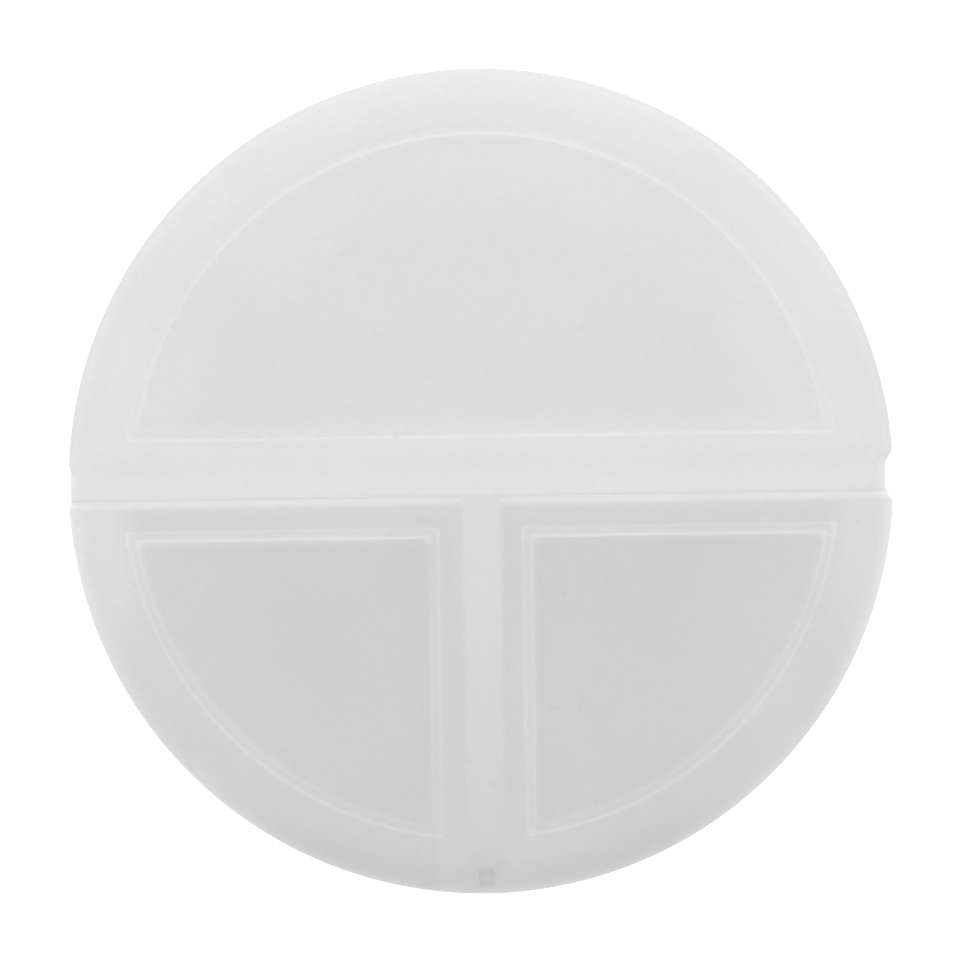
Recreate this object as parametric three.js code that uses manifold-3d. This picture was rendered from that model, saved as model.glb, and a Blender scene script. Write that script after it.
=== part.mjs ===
// Travel pill organizer: a round tray with one half-moon and two quarter-round compartments,
// a T-shaped hinge bar fixed along its dividers, and three lids on living hinges.
// Millimetres, +Z up. The large lid is on the +Y side. The origin is the centre of the
// footprint, on the plane that the tray stands on.

import * as THREE from 'three';
import { mergeVertices } from 'three/addons/utils/BufferGeometryUtils.js';
import Module from 'manifold-3d';

const wasm = await Module();
wasm.setup();

// Overall size.
const LID_RADIUS = 37; // lid skirts and the foot of the T
const BASE_RADIUS = 36.6; // tray shoulder
const BAR_LEFT_END = 36.85; // how far out the bar reaches on -X, almost to the lids' rim
const BAR_RIGHT_END = 36.3; // and on +X, where it leaves a shallow notch
const TOP_Z = 18; // flat top of the lids and the bar
const SEGMENTS = 72; // facets round the circle

// Lid moulding: hinge bar, lids and living hinges.
const PLATE = 1.1; // thickness of lids and bar
const SKIRT = 1.1; // wall of the skirt that hangs round the rim
const SKIRT_BOTTOM_Z = 13.3;
const DOME_START = 33; // radius where the flat top begins to round over
const DOME_DROP = 2.6; // height lost from there to the skirt
const UNDER_DOME_START = 34.2; // the same on the underside
const UNDER_DOME_DROP = 1.5;
const BAR_FRONT_Y = -1.25; // edge of the bar that the two small lids face
const BAR_BACK_Y = 1.15; // edge of the bar that carries the large lid
const STEM_HALF_WIDTH = 1.05;
const SLIT = 0.1; // open slit between the bar and the small lids
const CRISP_CORNER = 0.15; // plan corners of the lids at the rim
const LARGE_LID_CORNER = 0.9; // the large lid's corner beside the notch
const RIGHT_LID_CORNER = 0.5; // the right lid's
const BAR_BEVEL = 0.25; // along the bar's top edge beside that slit
const LID_BEVEL = 0.45; // along the small lids' top edges beside it

// Living hinges: a thin film in the plane of the top, with the fold line along its middle.
const FILM_WIDTH = 0.5;
const FILM_THICKNESS = 0.35;
const FILM_GAP = 0.25; // film to bar, and film to lid
const FILM_END = 34.3; // how far out the films reach
const HORN_START = 34.5; // past the films the lids come closer to the bar and the stem
const HORN_GAP = 0.12; // and this much stays open there

// Frame on each lid: a channel in the top with a locating rib under it.
const FRAME_FROM_BAR = 4.1; // channel's outer edge to the tray's centre line
const FRAME_FROM_STEM = 3.6; // channel's outer edge to the stem's centre line
const FRAME_RADIUS = 31.85; // channel's outer edge round the rim
const CHANNEL_WIDTH = 0.76;
const CHANNEL_DEPTH = 0.25;
const RIB_WALL = 0.8; // rib stands this far out from the channel on both sides
const RIB_DEPTH = 1.6; // below the plate

// Tray.
const FIT = 0.35; // tray to everything of the lid moulding that sits on it
const NECK_OUTER = 35.5;
const NECK_INNER = 34.4;
const NECK_CHAMFER = 0.6;
const RIM_EDGE = 0.2; // small chamfers round the shoulder and inside the neck
const FOOT_OUTER = 31; // ring that the tray stands on
const FOOT_INNER = 29.7;
const FOOT_HEIGHT = 0.4;
const FLOOR = 1;
const FLOOR_INNER = 29.6; // flat part of the compartment floors
const OUTSIDE_PULL = [3.5, 4.5]; // outside wall's curve: out from the foot, up to the rim
const INSIDE_PULL = [3, 3.5]; // the same for the inside wall
const WALL_INTO = 0.55; // dividers reach this far into the tray's wall
const DIVIDER_WALL = 1;
const DIVIDER_TOP_HALF = 1.8;
const DIVIDER_FOOT_HALF = 3.75;
const HOLLOW_END = 29.2; // radius where the hollows under the dividers stop

// Clips: a nib on each end of the T reaches into a window in the neck.
const NIB_HALF_WIDTH = 0.7;
const NIB_HEIGHT = 0.8;
const NIB_Z = 14.2;
const NIB_REACH = 0.45; // past the neck's outer face
const CLIP_PLAY = 0.3; // window round the nib
const NIB_ROOT = 0.3; // depth of the nib's root in the skirt
const CORE_HALF_WIDTH = 0.9; // moulding hole over the nib at the foot of the T
const CORE_INNER = 34.7;
const CORE_OUTER = 36.4;

// Values that follow.
const PLATE_Z = TOP_Z - PLATE;
const TRAY_TOP_Z = PLATE_Z - FIT;
const SHOULDER_Z = SKIRT_BOTTOM_Z - FIT;
const SKIRT_INNER = LID_RADIUS - SKIRT;
const FLOOR_Z = FOOT_HEIGHT + FLOOR;
const HINGE_STEP = FILM_WIDTH / 2 + FILM_GAP; // fold line to the solid edge on each side of it
const HINGE_Y = BAR_BACK_Y + HINGE_STEP;
const HINGE_X = STEM_HALF_WIDTH + HINGE_STEP;
const LARGE_LID_Y = HINGE_Y + HINGE_STEP;
const SMALL_LID_X = HINGE_X + HINGE_STEP;
const SMALL_LID_Y = BAR_FRONT_Y - SLIT;
const HORN_Y = BAR_BACK_Y + HORN_GAP;
const HORN_X = STEM_HALF_WIDTH + HORN_GAP;
const ABOVE = TOP_Z + 1; // cutters reach past the solids
const BELOW = -1;
const OUTSIDE = LID_RADIUS + 3;
const PAST_EDGE = 0.05; // plan outlines reach this far past the lid's rim

// A closed geometry as a solid, with shared corners merged and its faces turned outwards.
function solid(geometry) {
  const bare = geometry.clone();
  bare.deleteAttribute('normal');
  bare.deleteAttribute('uv');
  const merged = mergeVertices(bare);
  const points = merged.getAttribute('position').array;
  const corners = merged.getIndex().array;
  const triangles = [];
  let volume = 0;
  const a = new THREE.Vector3();
  const b = new THREE.Vector3();
  const c = new THREE.Vector3();
  for (let i = 0; i < corners.length; i += 3) {
    const [p, q, r] = [corners[i], corners[i + 1], corners[i + 2]];
    if (p === q || q === r || r === p) continue;
    triangles.push([p, q, r]);
    a.fromArray(points, 3 * p);
    b.fromArray(points, 3 * q);
    c.fromArray(points, 3 * r);
    volume += a.dot(b.cross(c));
  }
  const outward = volume > 0 ? triangles : triangles.map(([p, q, r]) => [p, r, q]);
  return new wasm.Manifold(new wasm.Mesh({
    numProp: 3,
    vertProperties: new Float32Array(points),
    triVerts: new Uint32Array(outward.flat()),
  }));
}

// The profile is a list of [radius, height] points that starts and ends on the axis.
function turned(profile) {
  const points = profile.map(([radius, z]) => new THREE.Vector2(radius, z));
  const geometry = new THREE.LatheGeometry(points, SEGMENTS);
  geometry.rotateX(Math.PI / 2);
  return solid(geometry);
}

function column(radius) {
  return turned([[0, BELOW], [radius, BELOW], [radius, ABOVE], [0, ABOVE]]);
}

function prism(shape, lowZ, highZ) {
  const geometry = new THREE.ExtrudeGeometry(shape, {
    depth: highZ - lowZ,
    bevelEnabled: false,
  });
  geometry.translate(0, 0, lowZ);
  return solid(geometry);
}

function block(lowX, highX, lowY, highY, lowZ, highZ) {
  const geometry = new THREE.BoxGeometry(highX - lowX, highY - lowY, highZ - lowZ);
  geometry.translate((lowX + highX) / 2, (lowY + highY) / 2, (lowZ + highZ) / 2);
  return solid(geometry);
}

// A long body along X, from the [y, z] corners of its cross-section.
function alongX(corners) {
  const outline = new THREE.Shape(corners.map(([y, z]) => new THREE.Vector2(y, z)));
  const geometry = new THREE.ExtrudeGeometry(outline, { depth: 2 * OUTSIDE, bevelEnabled: false });
  geometry.translate(0, 0, -OUTSIDE);
  geometry.rotateX(Math.PI / 2);
  geometry.rotateZ(Math.PI / 2);
  return solid(geometry);
}

// What a bevel takes off the flat top's edge at edgeY. side is 1 where the body lies at higher Y.
function topBevel(edgeY, side, size) {
  const past = 0.5;
  return alongX([
    [edgeY - side * past, TOP_Z - size - past],
    [edgeY - side * past, TOP_Z + past],
    [edgeY + side * (size + past), TOP_Z + past],
  ]);
}

// Points on a quarter of an ellipse, from straight above its centre to straight beside it.
function quarterEllipse(centreRadius, centreZ, width, height, steps) {
  const points = [];
  for (let i = 0; i <= steps; i += 1) {
    const angle = (i / steps) * (Math.PI / 2);
    points.push([centreRadius + width * Math.sin(angle), centreZ + height * Math.cos(angle)]);
  }
  return points;
}

// Points on a cubic curve through the tray's wall, from its foot to its upright part.
function wallCurve(foot, footPull, rimPull, rim, steps) {
  const curve = new THREE.CubicBezierCurve(
    new THREE.Vector2(...foot),
    new THREE.Vector2(...footPull),
    new THREE.Vector2(...rimPull),
    new THREE.Vector2(...rim),
  );
  return curve.getPoints(steps).map((point) => [point.x, point.y]);
}

// [x, y] points on an arc, in steps of about the circle's own facets, or of a fixed count.
function arc(centreX, centreY, radius, startAngle, endAngle, steps) {
  const count = steps ?? Math.ceil((Math.abs(endAngle - startAngle) / (2 * Math.PI)) * SEGMENTS);
  const points = [];
  for (let i = 0; i <= count; i += 1) {
    const angle = startAngle + ((endAngle - startAngle) * i) / count;
    points.push([centreX + radius * Math.cos(angle), centreY + radius * Math.sin(angle)]);
  }
  return points;
}

// The corner between a line at v = edge and a circle round the origin, as [u, v] points from
// the line to the circle. It is sharp with a corner radius of 0.
function rimCorner(radius, edge, corner) {
  const v = edge + corner;
  const u = Math.sqrt((radius - corner) ** 2 - v ** 2);
  return corner === 0 ? [[u, v]] : arc(u, v, corner, -Math.PI / 2, Math.atan2(v, u), 4);
}

// A plan outline: some points, a stretch of a circle round the origin, and some more points.
function roundOutline(radius, before, after) {
  const [startX, startY] = before.at(-1);
  const [endX, endY] = after[0];
  const rim = arc(0, 0, radius, Math.atan2(startY, startX), Math.atan2(endY, endX));
  const points = [...before, ...rim.slice(1, -1), ...after];
  return new THREE.Shape(points.map(([x, y]) => new THREE.Vector2(x, y)));
}

// A circle's part on the +Y side of a line.
function halfMoon(radius, edgeY, rightCorner, leftCorner) {
  const right = rimCorner(radius, edgeY, rightCorner);
  const left = rimCorner(radius, edgeY, leftCorner).map(([u, v]) => [-u, v]);
  return roundOutline(radius, right, left.reverse());
}

// A circle's part with x over edgeX and y under edgeY.
function quarterRound(radius, edgeX, edgeY, sideCorner, footCorner) {
  const foot = rimCorner(radius, edgeX, footCorner).map(([u, v]) => [v, -u]);
  const side = rimCorner(radius, -edgeY, sideCorner).map(([u, v]) => [u, -v]);
  return roundOutline(radius, [[edgeX, edgeY], ...foot], side.reverse());
}

function mirroredInX(body) {
  return body.mirror([1, 0, 0]);
}

// The whole lid moulding before it is divided: a flat cap with a rounded rim and a skirt.
function capShell() {
  const underside = quarterEllipse(
    UNDER_DOME_START,
    PLATE_Z - UNDER_DOME_DROP,
    SKIRT_INNER - UNDER_DOME_START,
    UNDER_DOME_DROP,
    4,
  );
  const topside = quarterEllipse(
    DOME_START,
    TOP_Z - DOME_DROP,
    LID_RADIUS - DOME_START,
    DOME_DROP,
    6,
  );
  return turned([
    [0, PLATE_Z],
    ...underside,
    [SKIRT_INNER, SKIRT_BOTTOM_Z],
    [LID_RADIUS, SKIRT_BOTTOM_Z],
    ...topside.reverse(),
    [0, TOP_Z],
  ]);
}

// Cuts the channel into a lid's top and adds the rib below. plan(grow) gives the outline of
// the frame's outer edge, grown outwards by that much.
function withFrame(lid, plan) {
  const channel = prism(plan(0), TOP_Z - CHANNEL_DEPTH, ABOVE)
    .subtract(prism(plan(-CHANNEL_WIDTH), BELOW, ABOVE + 1));
  const rib = prism(plan(RIB_WALL), PLATE_Z - RIB_DEPTH, PLATE_Z + PLATE / 4)
    .subtract(prism(plan(-CHANNEL_WIDTH - RIB_WALL), BELOW, ABOVE));
  return lid.add(rib).subtract(channel);
}

function largeLid() {
  const outline = halfMoon(LID_RADIUS + PAST_EDGE, HORN_Y, LARGE_LID_CORNER, CRISP_CORNER);
  const hingeSpace = block(-HORN_START, HORN_START, 0, LARGE_LID_Y, BELOW, ABOVE);
  const lid = capShell().intersect(prism(outline, BELOW, ABOVE)).subtract(hingeSpace);
  return withFrame(lid, (grow) => halfMoon(FRAME_RADIUS + grow, FRAME_FROM_BAR - grow, 0, 0));
}

// The lid on +X. sideCorner is the radius of its corner beside the bar's end.
function smallLid(sideCorner) {
  const rim = LID_RADIUS + PAST_EDGE;
  const outline = quarterRound(rim, HORN_X, SMALL_LID_Y, sideCorner, CRISP_CORNER);
  const hingeSpace = block(0, SMALL_LID_X, -HORN_START, 0, BELOW, ABOVE);
  const lid = capShell().intersect(prism(outline, BELOW, ABOVE))
    .subtract(hingeSpace)
    .subtract(topBevel(SMALL_LID_Y, -1, LID_BEVEL));
  return withFrame(lid, (grow) => quarterRound(
    FRAME_RADIUS + grow,
    FRAME_FROM_STEM - grow,
    -FRAME_FROM_BAR + grow,
    0,
    0,
  ));
}

// One clip nib at the +X end of the bar.
function nib() {
  return block(
    NECK_OUTER - NIB_REACH,
    SKIRT_INNER + NIB_ROOT,
    -NIB_HALF_WIDTH,
    NIB_HALF_WIDTH,
    NIB_Z,
    NIB_Z + NIB_HEIGHT,
  );
}

// The window that a nib reaches through, at the +X end of the bar.
function nibWindow() {
  return block(
    NECK_INNER - NIB_ROOT,
    NECK_OUTER + NIB_ROOT,
    -NIB_HALF_WIDTH - CLIP_PLAY,
    NIB_HALF_WIDTH + CLIP_PLAY,
    NIB_Z - CLIP_PLAY,
    NIB_Z + NIB_HEIGHT + CLIP_PLAY,
  );
}

// The same body at both ends of the bar and at the foot of the T.
function atThreeEnds(body) {
  return body.add(mirroredInX(body)).add(body.rotate([0, 0, -90]));
}

// The T: a bar across the tray and a stem down to the rim.
function hingeBar() {
  const rightArm = block(0, OUTSIDE, BAR_FRONT_Y, BAR_BACK_Y, BELOW, ABOVE)
    .intersect(column(BAR_RIGHT_END));
  const leftArm = block(-OUTSIDE, 0, BAR_FRONT_Y, BAR_BACK_Y, BELOW, ABOVE)
    .intersect(column(BAR_LEFT_END));
  const bar = rightArm.add(leftArm).subtract(topBevel(BAR_FRONT_Y, 1, BAR_BEVEL));
  const stem = block(-STEM_HALF_WIDTH, STEM_HALF_WIDTH, -OUTSIDE, 0, BELOW, ABOVE);
  const core = block(
    -CORE_HALF_WIDTH,
    CORE_HALF_WIDTH,
    -CORE_OUTER,
    -CORE_INNER,
    NIB_Z + NIB_HEIGHT,
    ABOVE,
  );
  return capShell().intersect(bar.add(stem))
    .add(atThreeEnds(nib()))
    .subtract(core);
}

// A film, whose ends follow the start of the rim's dome.
function film(lowX, highX, lowY, highY) {
  return block(lowX, highX, lowY, highY, TOP_Z - FILM_THICKNESS, ABOVE).intersect(capShell());
}

function largeFilm() {
  const half = FILM_WIDTH / 2;
  return film(-FILM_END, FILM_END, HINGE_Y - half, HINGE_Y + half);
}

function rightFilm() {
  const half = FILM_WIDTH / 2;
  return film(HINGE_X - half, HINGE_X + half, -FILM_END, SMALL_LID_Y)
    .subtract(topBevel(SMALL_LID_Y, -1, LID_BEVEL));
}

// The inside of the tray's wall, from the flat floor up to the neck, as profile points.
function insideWall() {
  return wallCurve(
    [FLOOR_INNER, FLOOR_Z],
    [FLOOR_INNER + INSIDE_PULL[0], FLOOR_Z],
    [NECK_INNER, FLOOR_Z + INSIDE_PULL[1]],
    [NECK_INNER, SHOULDER_Z],
    8,
  );
}

function bowl() {
  const outsideWall = wallCurve(
    [FOOT_OUTER, 0],
    [FOOT_OUTER + OUTSIDE_PULL[0], 0],
    [BASE_RADIUS, OUTSIDE_PULL[1]],
    [BASE_RADIUS, SHOULDER_Z - RIM_EDGE],
    9,
  );
  return turned([
    [0, FOOT_HEIGHT],
    [FOOT_INNER - RIM_EDGE, FOOT_HEIGHT],
    [FOOT_INNER, 0],
    ...outsideWall,
    [BASE_RADIUS - RIM_EDGE, SHOULDER_Z],
    [NECK_OUTER, SHOULDER_Z],
    [NECK_OUTER, TRAY_TOP_Z - NECK_CHAMFER],
    [NECK_OUTER - NECK_CHAMFER, TRAY_TOP_Z],
    [NECK_INNER + RIM_EDGE, TRAY_TOP_Z],
    [NECK_INNER, TRAY_TOP_Z - RIM_EDGE],
    ...insideWall().reverse(),
    [0, FLOOR_Z],
  ]);
}

// Everything inside the tray's wall, as one round body that reaches a little into the wall.
function insideBody() {
  const lowZ = FLOOR_Z - FLOOR / 2;
  const curve = insideWall().map(([radius, z]) => [radius + WALL_INTO, z]);
  const neckRadius = NECK_INNER + WALL_INTO;
  return turned([
    [0, lowZ],
    [FLOOR_INNER, lowZ],
    ...curve,
    [neckRadius, TRAY_TOP_Z],
    [0, TRAY_TOP_Z],
  ]);
}

// A divider as a long wedge along X, grown outwards by the given amount.
function wedgeAlongX(grow) {
  const slope = (DIVIDER_FOOT_HALF - DIVIDER_TOP_HALF) / (TRAY_TOP_Z - FLOOR_Z);
  const highZ = TRAY_TOP_Z + Math.min(grow, 0);
  const lowHalf = DIVIDER_TOP_HALF + grow + slope * (TRAY_TOP_Z - BELOW);
  const highHalf = DIVIDER_TOP_HALF + grow + slope * (TRAY_TOP_Z - highZ);
  return alongX([
    [-lowHalf, BELOW],
    [lowHalf, BELOW],
    [highHalf, highZ],
    [-highHalf, highZ],
  ]);
}

// Both dividers: one across the tray, and one from it to the -Y rim.
function dividers(grow) {
  const across = wedgeAlongX(grow);
  const frontHalf = block(-OUTSIDE, OUTSIDE, -OUTSIDE, 0, BELOW - 1, ABOVE);
  return across.add(across.rotate([0, 0, 90]).intersect(frontHalf));
}

// The tray. Its dividers are hollow from below, as far out as the foot ring.
function tray() {
  const walls = dividers(0).intersect(insideBody());
  const hollow = dividers(-DIVIDER_WALL).intersect(column(HOLLOW_END));
  return bowl().add(walls).subtract(hollow).subtract(atThreeEnds(nibWindow()));
}

// Clouded natural polypropylene.
function clouded(colour, roughness) {
  return new THREE.MeshStandardMaterial({
    color: colour,
    roughness,
    metalness: 0,
    flatShading: true,
  });
}

function named(name, body, material) {
  const { numProp, vertProperties, triVerts } = body.getMesh();
  const positions = new Float32Array((vertProperties.length / numProp) * 3);
  for (let i = 0; i < positions.length / 3; i += 1) {
    for (let k = 0; k < 3; k += 1) {
      positions[3 * i + k] = vertProperties[numProp * i + k];
    }
  }
  const geometry = new THREE.BufferGeometry();
  geometry.setAttribute('position', new THREE.BufferAttribute(positions, 3));
  geometry.setIndex(new THREE.BufferAttribute(new Uint32Array(triVerts), 1));
  geometry.computeVertexNormals();
  const mesh = new THREE.Mesh(geometry, material);
  mesh.name = name;
  return mesh;
}

const organizer = new THREE.Group();
organizer.name = 'travel_pill_organizer';
organizer.add(
  named('base_tray', tray(), clouded(0xdedede, 0.5)),
  named('hinge_bar', hingeBar(), clouded(0xe2e2e2, 0.5)),
  named('lid_large', largeLid(), clouded(0xdcdcdc, 0.5)),
  named('lid_left', mirroredInX(smallLid(CRISP_CORNER)), clouded(0xd0d0d0, 0.5)),
  named('lid_right', smallLid(RIGHT_LID_CORNER), clouded(0xd0d0d0, 0.5)),
  named('living_hinge_large', largeFilm(), clouded(0xe6e6e6, 0.4)),
  named('living_hinge_left', mirroredInX(rightFilm()), clouded(0xe6e6e6, 0.4)),
  named('living_hinge_right', rightFilm(), clouded(0xe6e6e6, 0.4)),
);

export default organizer;
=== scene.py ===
"""Round travel pill organizer, seen from straight above.

Each piece is a slab: a plan of quads over the XY plane, with a height for its top and one for
its underside. Lengths in the geometry are millimetres; the meshes are made in metres.
"""

import math

import bpy
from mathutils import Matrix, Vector


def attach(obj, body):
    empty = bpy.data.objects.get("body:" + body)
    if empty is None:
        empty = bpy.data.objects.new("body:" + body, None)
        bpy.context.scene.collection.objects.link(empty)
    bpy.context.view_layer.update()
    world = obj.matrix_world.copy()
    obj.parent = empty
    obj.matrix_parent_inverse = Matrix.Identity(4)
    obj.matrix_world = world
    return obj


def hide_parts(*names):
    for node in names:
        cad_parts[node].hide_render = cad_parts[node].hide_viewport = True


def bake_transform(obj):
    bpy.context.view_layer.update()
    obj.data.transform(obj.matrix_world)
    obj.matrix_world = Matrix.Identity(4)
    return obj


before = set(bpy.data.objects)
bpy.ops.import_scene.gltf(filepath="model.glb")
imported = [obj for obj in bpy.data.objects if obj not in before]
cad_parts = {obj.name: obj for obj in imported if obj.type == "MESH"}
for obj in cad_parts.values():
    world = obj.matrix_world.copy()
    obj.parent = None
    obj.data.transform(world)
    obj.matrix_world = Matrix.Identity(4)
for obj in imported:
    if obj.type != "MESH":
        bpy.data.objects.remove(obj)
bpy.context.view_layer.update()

MM = 0.001

# Lid moulding, as in the CAD model but for a rim that stays just inside the CAD's.
LID_RADIUS = 36.985
TOP_Z = 18.0
PLATE_Z = 16.9
SKIRT_INNER = 35.9
SKIRT_BOTTOM_Z = 13.3
DOME_START = 33.0
DOME_DROP = 2.6
UNDER_DOME_START = 34.2
UNDER_DOME_DROP = 1.5
BAR_FRONT_Y = -1.298
BAR_BACK_Y = 1.15
STEM_HALF = 1.05
LARGE_LID_Y = 2.15
SMALL_LID_X = 2.05
SMALL_LID_Y = -1.302

# Corners of the lids in plan, and the notches in the rim at the bar's two ends. A notch has a
# depth, the half width of its flat part and the run of each flank.
CORNER = 0.12
FOOT_CORNER = 0.03
NOTCH_RIGHT = (0.72, 1.0, 1.5)
NOTCH_LEFT = (0.17, 1.7, 0.15)
NOTCH_START = 34.6

# Each film ends short of the rim. From there a horn of the lid closes up to the bar or the stem.
HORN_START = 34.5
HORN_Y = 1.155
HORN_X = 1.055
FILM_END = 34.495
FILM_RUN_OUT = 0.5
FILM_THICKNESS = 0.33
GROOVE_DEPTH = 0.77

# Pocket at the stem's foot.
POCKET_HALF = 0.88
POCKET_IN = 34.25
POCKET_OUT = 36.42
POCKET_DEPTH = 0.42
POCKET_WALL = 0.5

# Frame on each lid: its radius, its distance from the tray's centre line along X and, on the
# small lids, from the one along Y. The shape across it is measured inwards from there.
LARGE_FRAME = (31.85, 3.81)
RIGHT_FRAME = (31.91, 4.0, 3.49)
LEFT_FRAME = (32.03, 4.0, 3.7)
CHANNEL_DEPTH = 0.1
OUTER_WALL = -0.04
INNER_WALL = 0.72
WALL_RUN = 0.44
RIB_OUT = -0.65
RIB_IN = 1.72
RIB_DEPTH = 1.6
RIB_DRAFT = 0.05
FRAME_CORNER = 0.5
FRAME_MARGIN = 0.5

# How light the plastics are. The small lids' darker tone is painted shade: a darker copy of the
# lid plastic. The bar and the top of the stem are made lighter than that by painted light.
LARGE_TONE = 0.825
SMALL_SHADED_TONE = 0.725
TRAY_TONE = 0.79
BAR_PAINTED_LIGHT = 0.075
STEM_PAINTED_LIGHT = 0.04
LIGHT_THROUGH = 0.2
BUMP_STRENGTH = 0.35
BUMP_HEIGHT = 0.03

# Faint darker patches in the large lid: where the middle is, the size and the strength.
DARK_PATCHES = [(-24, 14, 9, 0.03), (-6, 26, 7, 0.022), (33, 9, 5, 0.02), (13, 17, 7, 0.012)]

# Small rounded edges. FREE_EDGE and BAR_EDGE are the widths on each side of the slit.
FREE_EDGE = 0.3
BAR_EDGE = 0.36
EDGE_DEPTH = 0.045
EDGE_ZONE = 0.8
SKIRT_EDGE = 0.15

# Tray. Its dividers are hollow from below, out to HOLLOW_END.
BASE_RADIUS = 36.6
TRAY_TOP_Z = 16.55
SHOULDER_Z = 12.95
NECK_OUTER = 35.5
NECK_INNER = 34.4
FLOOR_Z = 1.4
FLOOR_EDGE = 29.6
FOOT_HEIGHT = 0.4
FOOT_INNER = 29.7
FOOT_OUTER = 31.0
DIVIDER_TOP_HALF = 1.8
DIVIDER_FOOT_HALF = 3.75
DIVIDER_WALL = 1.0
HOLLOW_END = 29.2
TRAY_EDGE = 0.3

# Floor, light and camera. The view's width is that at the height of the lids' rim.
FLOOR_HALF = 1200.0
FLOOR_TONE = 0.75
FLOOR_GLOW = 0.6
GLOW_START = 31.0
GLOW_FULL = 36.5
BACKGROUND_STRENGTH = 0.93
VIEW_WIDTH = 86.26
LENS = 120.0
SENSOR = 36.0
ROLL = math.radians(0.85)


# ---------------------------------------------------------------- helpers for profiles


def clamp(t):
    return min(max(t, 0.0), 1.0)


def smoothstep(t):
    t = clamp(t)
    return t * t * (3 - 2 * t)


def rising(distance, start, run):
    """0 up to start, then rising smoothly to 1 over run."""
    return smoothstep((distance - start) / run)


def fading(distance, start, run):
    """1 up to start, then falling smoothly to 0 over run."""
    return 1 - rising(distance, start, run)


def edge_drop(distance, radius):
    """How far a rounded edge of that radius has dropped, that far in from the edge."""
    if radius <= 0 or distance >= radius:
        return 0.0
    return radius - math.sqrt(max(radius**2 - (radius - distance) ** 2, 0.0))


def soft_edge(distance, width):
    """The same for a shallow edge that drops more and more steeply."""
    return EDGE_DEPTH * max(1 - distance / width, 0.0) ** 2 if width > 0.001 else 0.0


def smooth_max(a, b, width):
    """The higher of two heights, with a fillet of about that width where they meet."""
    h = clamp(0.5 + 0.5 * (a - b) / width)
    return b * (1 - h) + a * h + width * h * (1 - h)


def smooth_min(a, b, width):
    return -smooth_max(-a, -b, width)


def even(low, high, count):
    return [low + (high - low) * i / count for i in range(count + 1)]


def merged(levels, gap=0.015):
    """Sorted levels, without those that nearly repeat the one before."""
    out = []
    for level in sorted(levels):
        if not out or level - out[-1] > gap:
            out.append(level)
    return out


def cubic(points, count):
    """Points along a cubic Bezier curve."""
    out = []
    for i in range(count + 1):
        t = i / count
        s = 1 - t
        weights = (s**3, 3 * s * s * t, 3 * s * t * t, t**3)
        out.append(tuple(sum(w * p[k] for w, p in zip(weights, points)) for k in (0, 1)))
    return out


def table(points, x):
    """Linear interpolation in a list of (x, value), with x rising."""
    if x <= points[0][0]:
        return points[0][1]
    for (x0, v0), (x1, v1) in zip(points, points[1:]):
        if x <= x1:
            return v0 + (v1 - v0) * (x - x0) / (x1 - x0) if x1 > x0 else v1
    return points[-1][1]


# ---------------------------------------------------------------- plans and slabs


def grid(quads, point, rows, columns):
    for i in range(rows):
        for j in range(columns):
            quads.append([point(i, j), point(i, j + 1), point(i + 1, j + 1), point(i + 1, j)])


def quarter_plan(xs, ys, rs, run=14, layers=6):
    """Quads for the part of a disc with x and y over xs[0] and ys[0].

    They follow lines of constant x and y along the straight edges, and circles along the rim.
    """
    quads = []
    inner = rs[0]
    last_x = xs[-1]
    last_y = ys[-1]

    def on_circle(r, other):
        return math.sqrt(r * r - other * other)

    def along_x(i, j):
        end = on_circle(inner, ys[i])
        return (last_x + (end - last_x) * j / run, ys[i])

    def along_y(i, j):
        end = on_circle(inner, xs[j])
        return (xs[j], last_y + (end - last_y) * i / run)

    def ring(i, j):
        low = math.asin(last_y / rs[i])
        high = math.acos(last_x / rs[i])
        angle = low + (high - low) * j / (2 * run)
        return (rs[i] * math.cos(angle), rs[i] * math.sin(angle))

    def panel(i, j):
        if j <= run:
            near = along_x(len(ys) - 1, run - j)
        else:
            near = along_y(j - run, len(xs) - 1)
        far = ring(0, j)
        t = i / layers
        return tuple(n + (f - n) * t for n, f in zip(near, far))

    grid(quads, lambda i, j: (xs[j], ys[i]), len(ys) - 1, len(xs) - 1)
    grid(quads, along_x, len(ys) - 1, run)
    grid(quads, along_y, run, len(xs) - 1)
    grid(quads, lambda i, j: (on_circle(rs[j], ys[i]), ys[i]), len(ys) - 1, len(rs) - 1)
    grid(quads, lambda i, j: (xs[j], on_circle(rs[i], xs[j])), len(rs) - 1, len(xs) - 1)
    grid(quads, ring, len(rs) - 1, 2 * run)
    grid(quads, panel, layers, 2 * run)
    return quads


def kept(quads, test):
    """The quads whose middle passes a test."""
    out = []
    for quad in quads:
        x = sum(point[0] for point in quad) / 4
        y = sum(point[1] for point in quad) / 4
        if test(x, y):
            out.append(quad)
    return out


def mirrored(quads, sign_x, sign_y):
    return [[(sign_x * x, sign_y * y) for x, y in quad] for quad in quads]


def same_place(x, y):
    return x, y


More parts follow.
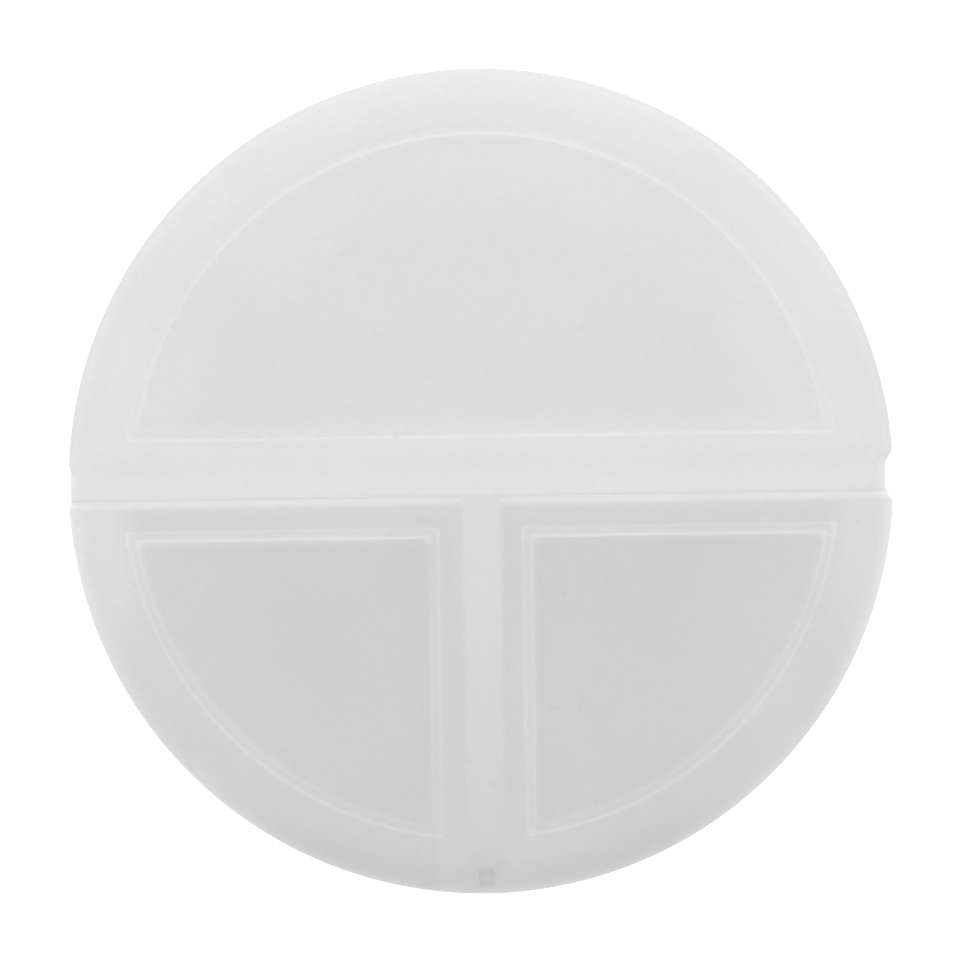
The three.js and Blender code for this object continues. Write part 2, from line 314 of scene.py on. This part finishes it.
def slab(name, quads, top, under, place=same_place, painted_light_at=None, smooth_angle=38):
    """A closed mesh between two height functions of the plan.

    place moves a plan point sideways before it is used; the heights take the plan point. The
    function given after place says how much painted light, or below 0 painted shade, the
    material's colour gets there.
    """
    index = {}
    plan = []

    def corner(point):
        key = (round(point[0], 3) + 0.0, round(point[1], 3) + 0.0)
        if key not in index:
            index[key] = len(plan)
            plan.append(point)
        return index[key]

    faces = []
    for quad in quads:
        ring = []
        for point in quad:
            k = corner(point)
            if k not in ring:
                ring.append(k)
        if len(ring) < 3:
            continue
        area = 0.0
        for a, b in zip(ring, ring[1:] + ring[:1]):
            area += plan[a][0] * plan[b][1] - plan[b][0] * plan[a][1]
        faces.append(ring if area > 0 else ring[::-1])

    placed = [place(x, y) for x, y in plan]
    upper = [(X, Y, top(x, y)) for (X, Y), (x, y) in zip(placed, plan)]
    lower = [(X, Y, under(x, y)) for (X, Y), (x, y) in zip(placed, plan)]
    count = len(plan)

    edges = {}
    for ring in faces:
        for a, b in zip(ring, ring[1:] + ring[:1]):
            edges[(a, b)] = True
    outline = [(a, b) for a, b in edges if (b, a) not in edges]

    all_faces = [list(ring) for ring in faces]
    all_faces += [[k + count for k in reversed(ring)] for ring in faces]
    all_faces += [[b, a, a + count, b + count] for a, b in outline]

    points = [(x * MM, y * MM, z * MM) for x, y, z in upper + lower]
    piece = mesh_object(name, points, all_faces, smooth_angle)
    # Painted light and shade, one value per point, read by the material.
    painted_light = piece.data.attributes.new("painted_light", "FLOAT", "POINT")
    values = [painted_light_at(x, y) if painted_light_at else 0.0 for x, y in plan]
    painted_light.data.foreach_set("value", values + values)
    return piece


def mesh_object(name, points, faces, smooth_angle):
    mesh = bpy.data.meshes.new(name)
    mesh.from_pydata(points, [], faces)
    mesh.validate()
    mesh.update()
    mesh.shade_smooth()
    mesh.set_sharp_from_angle(angle=math.radians(smooth_angle))
    piece = bpy.data.objects.new(name, mesh)
    bpy.context.scene.collection.objects.link(piece)
    return piece


# ---------------------------------------------------------------- lid moulding


def dome(r):
    """Height of the moulding's top at a radius, before channels and edges."""
    if r <= DOME_START:
        return TOP_Z
    share = clamp((r - DOME_START) / (LID_RADIUS - DOME_START))
    return TOP_Z - DOME_DROP + DOME_DROP * math.sqrt(1 - share * share)


def under_dome(r):
    """Height of the moulding's underside at a radius, before ribs."""
    if r <= UNDER_DOME_START:
        return PLATE_Z
    if r >= SKIRT_INNER - 0.005:
        return SKIRT_BOTTOM_Z + edge_drop(LID_RADIUS - r, SKIRT_EDGE)
    share = clamp((r - UNDER_DOME_START) / (SKIRT_INNER - UNDER_DOME_START))
    return PLATE_Z - UNDER_DOME_DROP + UNDER_DOME_DROP * math.sqrt(1 - share * share)


def channel(q):
    """Depth of the frame's channel, at q inwards from the frame's line."""
    return CHANNEL_DEPTH * (rising(q, OUTER_WALL, WALL_RUN) - rising(q, INNER_WALL, WALL_RUN))


def rib(q):
    """Depth of the rib that runs below the channel."""
    rise = clamp((q - RIB_OUT) / RIB_DRAFT)
    fall = clamp((RIB_IN - q) / RIB_DRAFT)
    return RIB_DEPTH * min(rise, fall)


def frame_painted_light(q, floor, outer, inner):
    """Painted light where the plastic is thicker: the channel's floor over the rib, and painted
    highlights on its two walls, more.
    """
    total = floor * rising(q, -0.1, 0.3) * fading(q, 1.01, 0.3)
    for start, wall in ((OUTER_WALL, outer), (INNER_WALL, inner)):
        total += wall * fading(abs(q - start - WALL_RUN / 2), 0, 0.28)
    return total


def stem_painted_light(y):
    """Painted light on the stem, against the large lid: as much as the bar has where the stem
    leaves it, less towards its foot, and painted shade at the foot."""
    top = STEM_PAINTED_LIGHT + (BAR_PAINTED_LIGHT - STEM_PAINTED_LIGHT) * fading(-y, 0.9, 0.8)
    return top - 0.11 * rising(-y, 0, 36) - 0.05 * rising(-y, 30, 5)


def pocket(x, y):
    """How far into the pocket at the stem's foot a point is, from 0 to 1."""
    if y > 0:
        return 0.0
    r = math.hypot(x, y)
    sides = fading(abs(x), POCKET_HALF - POCKET_WALL, POCKET_WALL)
    near_end = rising(r, POCKET_IN, POCKET_WALL)
    return sides * near_end * fading(r, POCKET_OUT - POCKET_WALL, POCKET_WALL)


def bar_painted_light(x, y):
    """The stem's painted light, with painted shade at the bar's ends, in the pocket and in the
    crease where the stem leaves it.
    """
    crease_shade = 0.02 * fading(abs(y - SMALL_LID_Y), 0.05, 0.2) if abs(x) < STEM_HALF else 0.0
    bar_end_shade = 0.035 * rising(abs(x), 33.5, 2.5)
    return stem_painted_light(y) - bar_end_shade - crease_shade - 0.01 * pocket(x, y)


def film_painted_light(x, y):
    """A film gets the painted light and shade of what lies on each side of it."""
    if y > 0:
        return BAR_PAINTED_LIGHT
    # The small lids are painted darker, so their painted light is turned into that of a film.
    beside = (1 + small_painted_light(SMALL_LID_X, -y, -1, x)) * SMALL_SHADED_TONE / LARGE_TONE - 1
    share = rising(abs(x), STEM_HALF + 0.3, SMALL_LID_X - STEM_HALF - 0.3)
    return stem_painted_light(y) * (1 - share) + beside * share


def dark_patches(x, y):
    """How much darker the patches make the large lid."""
    total = 0.0
    for patch_x, patch_y, size, strength in DARK_PATCHES:
        total += strength * math.exp(-((x - patch_x) ** 2 + (y - patch_y) ** 2) / size**2)
    return total


def large_painted_light(x, y, q):
    """Painted light over the tray's divider and over its wall, and painted shade where the rim
    rounds off.
    """
    r = math.hypot(x, y)
    divider = BAR_PAINTED_LIGHT * fading(y, 3, 4)
    towards_rim = 0.03 * rising(r, 22, 7) + 0.035 * rising(r, 30.7, 0.5)
    rounding = -0.04 * rising(r, 33.5, 2.5) - 0.08 * rising(r, 36.2, 0.7)
    on_frame = frame_painted_light(q, 0.007, 0.03, 0.05)
    return max(divider, towards_rim) + rounding - dark_patches(x, y) + on_frame


def small_painted_light(x, y, q, side):
    """Painted light over the tray's dividers, towards the bar's ends and in a band over the
    tray's wall, painted light and shade where the rim rounds off, and a painted highlight on the
    free edge. x and y are distances from the tray's two centre lines. side is below 0 for the lid
    on -X, beside whose film the painted light reaches further."""
    r = math.hypot(x, y)

    beside_bar = 0.055 * fading(y, 4.7, 0.7) + 0.02 * fading(y, 2, 1.2)
    beside_bar += 0.02 * fading(y, 2.2, 2.2) * fading(x, 3, 5)
    beside_stem = (0.055 - 0.02 * rising(y, 12, 18)) * fading(x, 4.1, 0.8)
    beside_film = 0.05 * fading(x, 1.9, 1.6) if side < 0 else 0.02 * fading(x, 1.9, 0.6)
    divider = max(beside_bar, beside_stem + beside_film * fading(y, 4, 16))

    outwards = 0.03 * rising(x, 16, 12) + 0.045 * rising(x, 29, 5)
    outwards += 0.035 * rising(x, 27, 5) * fading(y, 4, 12)
    towards_rim = outwards + 0.012 * rising(r, 31, 0.5)

    rounding = (0.015 - 0.055 * rising(y, 26, 9)) * rising(r, 33.5, 2.5)
    rounding += 0.035 * fading(y, 6, 20) * rising(r, 35.6, 0.6)
    band = fading(abs(r - 33.4), 0.4, 1.4) * fading(y, 8, 16)
    rounding += (0.03 if side < 0 else 0.015) * band

    by_bar = 0.03 * fading(y, 5.4, 0.3)
    by_stem = fading(x, 5.1, 0.3)
    on_arc = (1 - by_stem) * rising(y, 5.1, 0.3)
    walls = 0.06 + by_bar - 0.02 * by_stem * rising(y, 14, 14)
    on_frame = frame_painted_light(q, 0.03 + by_bar / 2, walls - 0.02 * on_arc, walls + 0.025 * on_arc)

    flat = max(divider, towards_rim) + rounding + on_frame
    # Painted highlight along the lid's free edge by the slit.
    free_edge_highlight = 0.1 + 0.135 * rising(y, 1.28, 0.32)
    return flat + (free_edge_highlight - flat) * fading(y, 1.75, 0.6)


# Where the meshes have lines: across the frame, in from a lid's edge, and round the rim.
FRAME_LEVELS = merged(
    [RIB_OUT, RIB_OUT + RIB_DRAFT, RIB_IN - RIB_DRAFT, RIB_IN]
    + even(OUTER_WALL, OUTER_WALL + WALL_RUN, 7)
    + even(INNER_WALL, INNER_WALL + WALL_RUN, 7)
)
EDGE_LEVELS = [0, 0.02, 0.05, CORNER, 0.17, 0.22, 0.3, 0.42, 0.56, 0.7, 0.85, 1.1, 1.4, 1.7]
DOME_LEVELS = merged(
    [DOME_START + (LID_RADIUS - DOME_START) * math.sin(math.radians(a)) for a in range(0, 91, 6)]
    + [UNDER_DOME_START, SKIRT_INNER - 0.04, SKIRT_INNER, LID_RADIUS - CORNER]
)


def frame_radii(radius):
    """Radii for a lid's mesh, whose frame has that radius."""
    inner = radius - FRAME_LEVELS[-1] - FRAME_MARGIN
    return merged([inner, HORN_START] + [radius - q for q in FRAME_LEVELS] + DOME_LEVELS)


def frame_lines(distance):
    """Lines for a lid's mesh along a straight side of its frame."""
    lines = [distance + q for q in FRAME_LEVELS]
    return lines + [lines[-1] + FRAME_MARGIN]


def notched(x, y):
    """Moves a point near the rim inwards at the two notches by the bar's two ends."""
    depth, half, run = NOTCH_RIGHT if x > 0 else NOTCH_LEFT
    r = math.hypot(x, y)
    shift = depth * fading(abs(y), half, run)
    if shift == 0 or r < NOTCH_START:
        return x, y
    r -= shift * rising(r, NOTCH_START, LID_RADIUS - NOTCH_START)
    return math.copysign(math.sqrt(r * r - y * y), x), y


def round_corner(u, v, radius):
    """Moves a point near a square corner, at u and v from its two edges, to a rounded one."""
    a = radius - u
    b = radius - v
    if a <= 0 or b <= 0:
        return u, v
    scale = max(a, b) / math.hypot(a, b)
    return radius - a * scale, radius - b * scale


def round_rim_corner(x, y, edge_y, corner):
    """The same where the lid's rim meets its edge at y = edge_y."""
    u = LID_RADIUS - math.hypot(x, y)
    v = y - edge_y
    if u >= corner or v >= corner:
        return x, y
    u, v = round_corner(u, v, corner)
    y = edge_y + v
    return math.sqrt((LID_RADIUS - u) ** 2 - y * y), y


def large_lid():
    frame_r, frame_y = LARGE_FRAME
    ys = merged([HORN_Y + e for e in EDGE_LEVELS] + [LARGE_LID_Y] + frame_lines(frame_y))
    quads = quarter_plan([0, 1.5, 3], ys, frame_radii(frame_r), run=18)
    quads = kept(quads, lambda x, y: y > LARGE_LID_Y or math.hypot(x, y) > HORN_START)

    def place(x, y):
        near_x, near_y = round_rim_corner(abs(x), y, HORN_Y, CORNER)
        return notched(math.copysign(near_x, x), near_y)

    def inwards(x, y):
        return smooth_min(frame_r - math.hypot(x, y), y - frame_y, FRAME_CORNER)

    def top(x, y):
        return dome(math.hypot(x, y)) - channel(inwards(x, y))

    def under(x, y):
        return under_dome(math.hypot(x, y)) - rib(inwards(x, y))

    def painted_light_at(x, y):
        return large_painted_light(x, y, inwards(x, y))

    return slab("lid_large_top", quads + mirrored(quads, -1, 1), top, under, place, painted_light_at)


def small_lid(name, side):
    """side is 1 for the lid on +X and -1 for the one on -X. The lid is worked out where x and y
    are above 0, and mirrored from there."""
    edge_y = -SMALL_LID_Y
    frame_r, frame_y, frame_x = RIGHT_FRAME if side > 0 else LEFT_FRAME
    xs = merged([HORN_X + e for e in EDGE_LEVELS] + [SMALL_LID_X] + frame_lines(frame_x))
    ys = merged([edge_y + e for e in EDGE_LEVELS] + frame_lines(frame_y))
    quads = quarter_plan(xs, ys, frame_radii(frame_r))
    quads = kept(quads, lambda x, y: x > SMALL_LID_X or math.hypot(x, y) > HORN_START)

    def rounded(x, y):
        if x > y:
            return round_rim_corner(x, y, edge_y, CORNER)
        near_y, near_x = round_rim_corner(y, x, HORN_X, FOOT_CORNER)
        return near_x, near_y

    def inwards(x, y):
        to_edges = smooth_min(y - frame_y, x - frame_x, FRAME_CORNER)
        return smooth_min(frame_r - math.hypot(x, y), to_edges, FRAME_CORNER)

    def place(x, y):
        near_x, near_y = rounded(abs(x), abs(y))
        return notched(side * near_x, -near_y)

    def top(x, y):
        x, y = abs(x), abs(y)
        from_rim = LID_RADIUS - math.hypot(x, y)
        a = max(EDGE_ZONE - from_rim, 0.0)
        b = max(EDGE_ZONE - (y - edge_y), 0.0)
        share = b / (a + b) if a + b > 0 else 0.0
        edge = soft_edge(max(min(y - edge_y, from_rim), 0.0), FREE_EDGE * share)
        return dome(math.hypot(x, y)) - channel(inwards(x, y)) - edge

    def under(x, y):
        x, y = abs(x), abs(y)
        return under_dome(math.hypot(x, y)) - rib(inwards(x, y))

    def painted_light_at(x, y):
        return small_painted_light(abs(x), abs(y), inwards(abs(x), abs(y)), side)

    return slab(name, mirrored(quads, side, -1), top, under, place, painted_light_at)


def hinge_bar():
    bar_ys = merged([BAR_FRONT_Y + e for e in (0, 0.04, 0.09, 0.15, 0.22, 0.29, BAR_EDGE)]
                    + [-0.85, -0.65, -0.4, 0, 0.7, BAR_BACK_Y], gap=0.01)
    stem_xs = [-STEM_HALF, -POCKET_HALF, -0.85, -0.75, -0.65, -0.55, -0.45, -0.2, 0]
    stem_xs += [-x for x in stem_xs[-2::-1]]
    long_x = [STEM_HALF, STEM_HALF + 0.03, 3, 6, 10, 15, 20, 25, 30, 32, DOME_START]
    rs = [r for r in DOME_LEVELS if r > DOME_START + 0.2]
    pocket_rs = even(POCKET_IN, POCKET_IN + POCKET_WALL, 5)
    pocket_rs += even(POCKET_OUT - POCKET_WALL, POCKET_OUT, 5)
    stem_rs = merged(rs + pocket_rs, gap=0.02)
    stem_y = [BAR_FRONT_Y, -4, -8, -12, -17, -22, -27, -31, -DOME_START]

    quads = []
    grid(quads, lambda i, j: (stem_xs[j], bar_ys[i]), len(bar_ys) - 1, len(stem_xs) - 1)
    for side in (1, -1):

        def along(i, j):
            return (side * long_x[j], bar_ys[i])

        def end(i, j):
            if j == 0:
                return (side * DOME_START, bar_ys[i])
            return (side * math.sqrt(rs[j - 1] ** 2 - bar_ys[i] ** 2), bar_ys[i])

        grid(quads, along, len(bar_ys) - 1, len(long_x) - 1)
        grid(quads, end, len(bar_ys) - 1, len(rs))

    def stem_end(i, j):
        if i == 0:
            return (stem_xs[j], -DOME_START)
        return (stem_xs[j], -math.sqrt(stem_rs[i - 1] ** 2 - stem_xs[j] ** 2))

    grid(quads, lambda i, j: (stem_xs[j], stem_y[i]), len(stem_y) - 1, len(stem_xs) - 1)
    grid(quads, stem_end, len(stem_rs), len(stem_xs) - 1)

    def top(x, y):
        drop = soft_edge(y - BAR_FRONT_Y, BAR_EDGE) if abs(x) > STEM_HALF + 0.01 else 0.0
        return dome(math.hypot(x, y)) - drop - POCKET_DEPTH * pocket(x, y)

    def under(x, y):
        return under_dome(math.hypot(x, y))

    return slab("hinge_bar_top", quads, top, under, notched, bar_painted_light)


# ---------------------------------------------------------------- living hinges


def film(name, low, high, start, along_x):
    """A strip from low to high across the fold. start is where it starts along the fold; it
    ends on a circle round the tray's middle."""
    steps = 16
    across = even(low, high, steps)
    far_end = [0.972, 0.98, 0.986, 0.992, 1]
    if along_x:
        shares = [-share for share in reversed(far_end)] + even(-0.96, 0.96, 48) + far_end
    else:
        shares = [e / FILM_END for e in EDGE_LEVELS if e < 1] + even(0.04, 0.96, 23) + far_end

    def point(i, j):
        v = across[i]
        end = math.sqrt(FILM_END**2 - v * v)
        if along_x:
            return (shares[j] * end, v)
        return (v, start - shares[j] * (end + start))

    quads = []
    grid(quads, point, steps, len(shares) - 1)

    def top(x, y):
        edge = 0.0 if along_x else soft_edge(start - y, FREE_EDGE)
        return dome(math.hypot(x, y)) - edge

    def under(x, y):
        value = y if along_x else x
        sides = abs(2 * (value - low) / (high - low) - 1) ** 3
        to_end = FILM_END - math.hypot(x, y)
        if not along_x:
            to_end = min(to_end, start - y)
        run_out = fading(to_end, 0, FILM_RUN_OUT)
        return TOP_Z - FILM_THICKNESS - GROOVE_DEPTH * max(sides, run_out)

    return slab(name, quads, top, under, painted_light_at=film_painted_light)


# ---------------------------------------------------------------- tray


# The bowl's two sides, as radius and height.
INSIDE_CURVE = cubic([(FLOOR_EDGE, FLOOR_Z), (32.6, FLOOR_Z), (NECK_INNER, 4.9),
                      (NECK_INNER, SHOULDER_Z)], 16)
OUTSIDE_CURVE = cubic([(FOOT_OUTER, 0), (34.5, 0), (BASE_RADIUS, 4.5),
                       (BASE_RADIUS, SHOULDER_Z - 0.25)], 20)


def tray():
    slope = (DIVIDER_FOOT_HALF - DIVIDER_TOP_HALF) / (TRAY_TOP_Z - FLOOR_Z)

    top_edge = []
    for edge in even(0.02, TRAY_EDGE, 4):
        top_edge.append((NECK_INNER + edge, TRAY_TOP_Z - edge_drop(edge, TRAY_EDGE)))
    lead_in = [(34.95, TRAY_TOP_Z), (35.15, 16.48), (35.33, 16.27), (35.45, 15.95)]
    wall_top = INSIDE_CURVE + top_edge + lead_in
    wall_top += [(NECK_OUTER, 15.4), (NECK_OUTER + 0.02, SHOULDER_Z), (36.3, SHOULDER_Z)]
    wall_top += [(BASE_RADIUS - 0.12, SHOULDER_Z - 0.04), (BASE_RADIUS, SHOULDER_Z - 0.2)]

    foot = [(FOOT_INNER - 0.35, FOOT_HEIGHT), (FOOT_INNER - 0.05, 0.28), (FOOT_INNER + 0.1, 0.06)]
    foot += [(FOOT_INNER + 0.3, 0.0)]
    wall_under = foot + OUTSIDE_CURVE

    rs = merged([HOLLOW_END - 0.5, HOLLOW_END, HOLLOW_END + 0.04]
                + [r for r, z in wall_top] + [r for r, z in wall_under], gap=0.012)
    hollow_half = DIVIDER_TOP_HALF + slope * DIVIDER_WALL - DIVIDER_WALL
    across = [0, 0.45, hollow_half, hollow_half + 0.06, DIVIDER_FOOT_HALF - DIVIDER_WALL + 0.2]
    across += [DIVIDER_TOP_HALF + d for d in (-0.55, -0.4, -0.25, -0.1, 0.05, 0.4)]
    across = merged(across + even(2.6, 5.6, 14))

    def wedge(distance):
        """Height of a divider at a distance from its middle plane."""
        side = TRAY_TOP_Z - (distance - DIVIDER_TOP_HALF) / slope
        return -smooth_max(-TRAY_TOP_Z, -side, 1.2)

    def top(x, y):
        r = math.hypot(x, y)
        wall = table(wall_top, r)
        if r >= NECK_INNER + 0.01:
            return wall
        height = smooth_max(wedge(abs(y)), FLOOR_Z, 2.2)
        if y < 0:
            height = smooth_max(height, wedge(abs(x)), 2.0)
        fillet = min(0.02 + 0.8 * (wall - FLOOR_Z), 1.6)
        return min(smooth_max(height, wall, fillet), TRAY_TOP_Z)

    def under(x, y):
        r = math.hypot(x, y)
        base = table(wall_under, r)
        if r > HOLLOW_END + 0.02:
            return base
        near = abs(y) if y >= 0 else min(abs(x), abs(y))
        hollow = TRAY_TOP_Z - DIVIDER_WALL - max(near - hollow_half, 0) / slope
        return max(base, hollow)

    quads = quarter_plan(across, across, rs, run=20)
    whole = []
    for sign_x in (1, -1):
        for sign_y in (1, -1):
            whole += mirrored(quads, sign_x, sign_y)
    return slab("tray_body", whole, top, under, smooth_angle=50)


# ---------------------------------------------------------------- materials


def plastic(name, tone, roughness):
    """Milky natural polypropylene: a satin grain, faint clouding, specks and scuffs, and a share
    of the light that goes through. Its colour also takes the painted light and shade of each
    mesh."""
    material = bpy.data.materials.new(name)
    material.use_nodes = True
    nodes = material.node_tree.nodes
    links = material.node_tree.links
    shader = nodes["Principled BSDF"]
    glow = nodes.new("ShaderNodeBsdfTranslucent")
    mix = nodes.new("ShaderNodeMixShader")
    mix.inputs["Fac"].default_value = LIGHT_THROUGH
    links.new(shader.outputs["BSDF"], mix.inputs[1])
    links.new(glow.outputs["BSDF"], mix.inputs[2])
    links.new(mix.outputs["Shader"], nodes["Material Output"].inputs["Surface"])
    shader.inputs["IOR"].default_value = 1.49
    shader.inputs["Specular IOR Level"].default_value = 0.4

    place = nodes.new("ShaderNodeTexCoord")

    def noise(scale, detail, rough=0.5, source=None):
        node = nodes.new("ShaderNodeTexNoise")
        node.inputs["Scale"].default_value = scale
        node.inputs["Detail"].default_value = detail
        node.inputs["Roughness"].default_value = rough
        links.new(source or place.outputs["Object"], node.inputs["Vector"])
        return node.outputs["Fac"]

    def spread(value, low, high, out_low, out_high, smooth=False):
        node = nodes.new("ShaderNodeMapRange")
        if smooth:
            node.interpolation_type = "SMOOTHSTEP"
        node.inputs["From Min"].default_value = low
        node.inputs["From Max"].default_value = high
        node.inputs["To Min"].default_value = out_low
        node.inputs["To Max"].default_value = out_high
        links.new(value, node.inputs["Value"])
        return node.outputs["Result"]

    def combine(operation, a, b):
        node = nodes.new("ShaderNodeMath")
        node.operation = operation
        for socket, value in zip(node.inputs, (a, b)):
            if isinstance(value, (int, float)):
                socket.default_value = value
            else:
                links.new(value, socket)
        return node.outputs["Value"]

    clouds = spread(noise(70, 4), 0.3, 0.7, 0.985, 1.015)
    grain = spread(noise(1800, 2, 0.6), 0.3, 0.7, 0.988, 1.012)
    specks = spread(noise(620, 1), 0.74, 0.785, 1.0, 0.965, smooth=True)

    stretch = nodes.new("ShaderNodeMapping")
    stretch.inputs["Scale"].default_value = (1.0, 14.0, 1.0)
    stretch.inputs["Rotation"].default_value = (0.0, 0.0, 0.5)
    links.new(place.outputs["Object"], stretch.inputs["Vector"])
    streaks = noise(150, 3, 0.6, stretch.outputs["Vector"])
    scuffs = spread(streaks, 0.68, 0.76, 0.0, 1.0, smooth=True)

    # The painted light and shade that each mesh carries make the colour lighter or darker here.
    painted_light = nodes.new("ShaderNodeAttribute")
    painted_light.attribute_name = "painted_light"
    painted_light_factor = combine("ADD", painted_light.outputs["Fac"], 1.0)

    shade = combine("MULTIPLY", combine("MULTIPLY", clouds, grain), specks)
    shade = combine("MULTIPLY", shade, painted_light_factor)
    shade = combine("MULTIPLY", shade, spread(scuffs, 0, 1, 1.0, 0.985))
    tint = nodes.new("ShaderNodeVectorMath")
    tint.operation = "SCALE"
    tint.inputs[0].default_value = (tone, tone, tone)
    links.new(shade, tint.inputs["Scale"])
    links.new(tint.outputs["Vector"], shader.inputs["Base Color"])
    links.new(tint.outputs["Vector"], glow.inputs["Color"])

    gloss = spread(noise(240, 3), 0.3, 0.7, roughness - 0.05, roughness + 0.06)
    links.new(combine("ADD", gloss, spread(scuffs, 0, 1, 0.0, 0.12)), shader.inputs["Roughness"])

    height = combine("ADD", noise(2600, 2, 0.55), combine("MULTIPLY", noise(420, 2), 0.8))
    height = combine("SUBTRACT", height, combine("MULTIPLY", scuffs, 0.5))
    bumps = nodes.new("ShaderNodeBump")
    bumps.inputs["Strength"].default_value = BUMP_STRENGTH
    bumps.inputs["Distance"].default_value = BUMP_HEIGHT * MM
    links.new(height, bumps.inputs["Height"])
    links.new(bumps.outputs["Normal"], shader.inputs["Normal"])
    links.new(bumps.outputs["Normal"], glow.inputs["Normal"])
    return material


def floor_material():
    """White, and glowing a little except under the tray, so that it stays white round it."""
    material = bpy.data.materials.new("white_floor")
    material.use_nodes = True
    nodes = material.node_tree.nodes
    links = material.node_tree.links
    shader = nodes["Principled BSDF"]
    shader.inputs["Base Color"].default_value = (FLOOR_TONE, FLOOR_TONE, FLOOR_TONE, 1.0)
    shader.inputs["Roughness"].default_value = 0.8
    shader.inputs["Emission Color"].default_value = (1.0, 1.0, 1.0, 1.0)
    place = nodes.new("ShaderNodeTexCoord")
    length = nodes.new("ShaderNodeVectorMath")
    length.operation = "LENGTH"
    links.new(place.outputs["Object"], length.inputs[0])
    ramp = nodes.new("ShaderNodeMapRange")
    ramp.inputs["From Min"].default_value = GLOW_START * MM
    ramp.inputs["From Max"].default_value = GLOW_FULL * MM
    ramp.inputs["To Max"].default_value = FLOOR_GLOW
    links.new(length.outputs["Value"], ramp.inputs["Value"])
    links.new(ramp.outputs["Result"], shader.inputs["Emission Strength"])
    return material


# ---------------------------------------------------------------- assembly


lid_plastic = plastic("frosted_lid_plastic", LARGE_TONE, 0.42)
# The small lids get a darker copy of the lid plastic, as painted shade.
shaded_small_lid_plastic = plastic("frosted_lid_plastic_shaded", SMALL_SHADED_TONE, 0.42)
tray_plastic = plastic("frosted_tray_plastic", TRAY_TONE, 0.45)
film_plastic = plastic("folded_film_plastic", LARGE_TONE, 0.38)

PIECES = [
    (tray(), "base_tray", "tray", "tray_plastic", tray_plastic),
    (hinge_bar(), "hinge_bar", "tray", "lid_plastic", lid_plastic),
    (large_lid(), "lid_large", "large_lid", "lid_plastic", lid_plastic),
    (small_lid("lid_right_top", 1), "lid_right", "right_lid", "lid_plastic", shaded_small_lid_plastic),
    (small_lid("lid_left_top", -1), "lid_left", "left_lid", "lid_plastic", shaded_small_lid_plastic),
]
for piece, node, body, slot, material in PIECES:
    piece.data.materials.append(material)
    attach(piece, body)
    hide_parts(node)

FILMS = [
    ("film_large", "living_hinge_large", "large_lid", BAR_BACK_Y, LARGE_LID_Y, True),
    ("film_right", "living_hinge_right", "right_lid", STEM_HALF, SMALL_LID_X, False),
    ("film_left", "living_hinge_left", "left_lid", -STEM_HALF, -SMALL_LID_X, False),
]
for name, node, body, near, far, along_x in FILMS:
    strip = film(name, min(near, far), max(near, far), SMALL_LID_Y, along_x)
    strip.data.materials.append(film_plastic)
    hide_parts(node)
    ends = [(0, v, TOP_Z) if along_x else (v, 0, TOP_Z) for v in (near, far)]
    start, end = (tuple(value * MM for value in point) for point in ends)
    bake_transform(strip)
    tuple(start)
    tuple(end)

# ---------------------------------------------------------------- stage, light and camera

reach = FLOOR_HALF * MM
floor_corners = [(-reach, -reach, 0), (reach, -reach, 0), (reach, reach, 0), (-reach, reach, 0)]
floor = mesh_object("floor", floor_corners, [[0, 1, 2, 3]], 30)
floor.data.materials.append(floor_material())

world = bpy.data.worlds.new("studio")
bpy.context.scene.world = world
world.use_nodes = True
background = world.node_tree.nodes["Background"]
background.inputs["Color"].default_value = (1.0, 1.0, 1.0, 1.0)
background.inputs["Strength"].default_value = BACKGROUND_STRENGTH


def area_light(name, position, target, width, height, power):
    data = bpy.data.lights.new(name, "AREA")
    data.shape = "RECTANGLE"
    data.size = width
    data.size_y = height
    data.energy = power
    light = bpy.data.objects.new(name, data)
    light.location = position
    direction = Vector(target) - Vector(position)
    light.rotation_euler = direction.to_track_quat("-Z", "Y").to_euler()
    bpy.context.scene.collection.objects.link(light)


area_light("key", (0.0, 0.34, 0.3), (0, 0, 0.015), 0.5, 0.3, 0.42)

camera_data = bpy.data.cameras.new("camera")
camera_data.lens = LENS
camera_data.sensor_width = SENSOR
camera = bpy.data.objects.new("camera", camera_data)
distance = VIEW_WIDTH * LENS / SENSOR
camera.location = (0.0, 0.0, (TOP_Z - DOME_DROP + distance) * MM)
camera.rotation_euler = (0.0, 0.0, -ROLL)
bpy.context.scene.collection.objects.link(camera)
bpy.context.scene.camera = camera
bpy.context.scene.view_settings.view_transform = "Standard"

# Light takes many turns inside milky plastic.
bpy.context.scene.cycles.max_bounces = 24
bpy.context.scene.cycles.diffuse_bounces = 16
bpy.context.scene.cycles.transmission_bounces = 24
